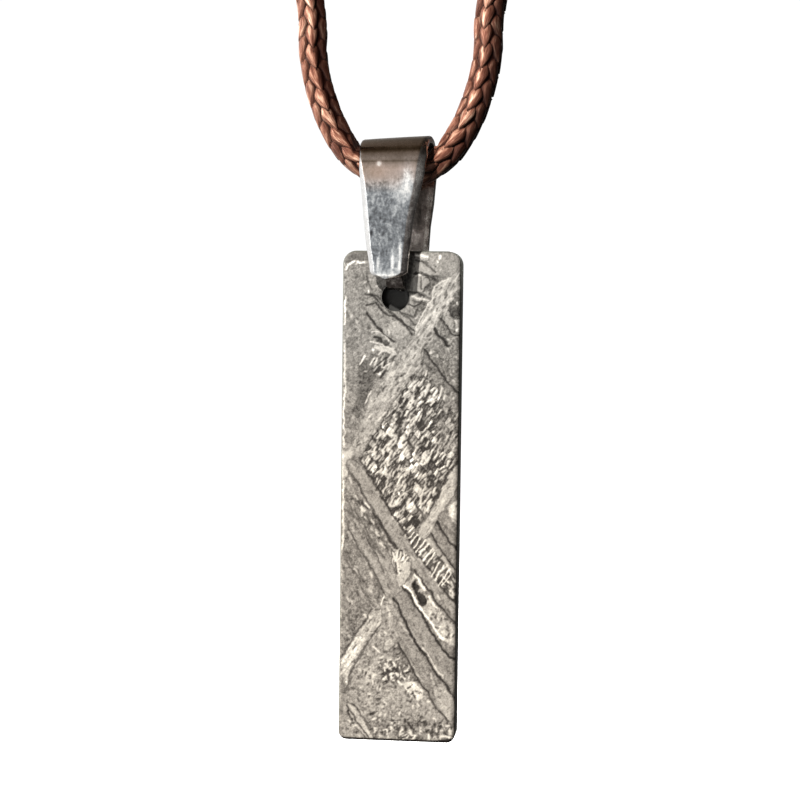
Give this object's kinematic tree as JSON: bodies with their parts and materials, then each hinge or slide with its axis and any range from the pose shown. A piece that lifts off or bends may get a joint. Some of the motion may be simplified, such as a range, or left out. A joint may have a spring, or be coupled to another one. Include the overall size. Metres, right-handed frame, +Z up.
{
  "type": "bar pendant necklace",
  "caption": "Etched meteorite bar pendant on a pinch bail and a round braided cord with a plain barrel clasp.",
  "frame": {"origin": "underside of the clasp at the middle of the loop's top, where a neck carries the cord", "axes": "+Z up along the hanging pendant, +Y from the patterned front face to the back face, +X to the right as seen from the front"},
  "size_m": [0.1454, 0.007, 0.1933],
  "materials": {
    "bar": "cut, polished and etched, with a crossing band pattern",
    "bail": "polished, finely scratched",
    "cord": "glossy waxed round braid, coppery brown",
    "clasp": "brushed"
  },
  "bodies": {
    "necklace": {"cord": "cord", "clasp": "clasp"},
    "bail": {"bail": "bail"},
    "bar": {"bar": "bar"}
  },
  "joints": [
    {"name": "bail_swing", "type": "hinge", "parent": "necklace", "child": "bail", "pos_m": [0, 0, -0.1424], "axis": [0.9816, -0.1908, 0], "range_deg": [-90, 90]},
    {"name": "bar_swing", "type": "hinge", "parent": "bail", "child": "bar", "pos_m": [0, 0, -0.1525], "axis": [0, 1, 0], "range_deg": [-110, 110]}
  ]
}
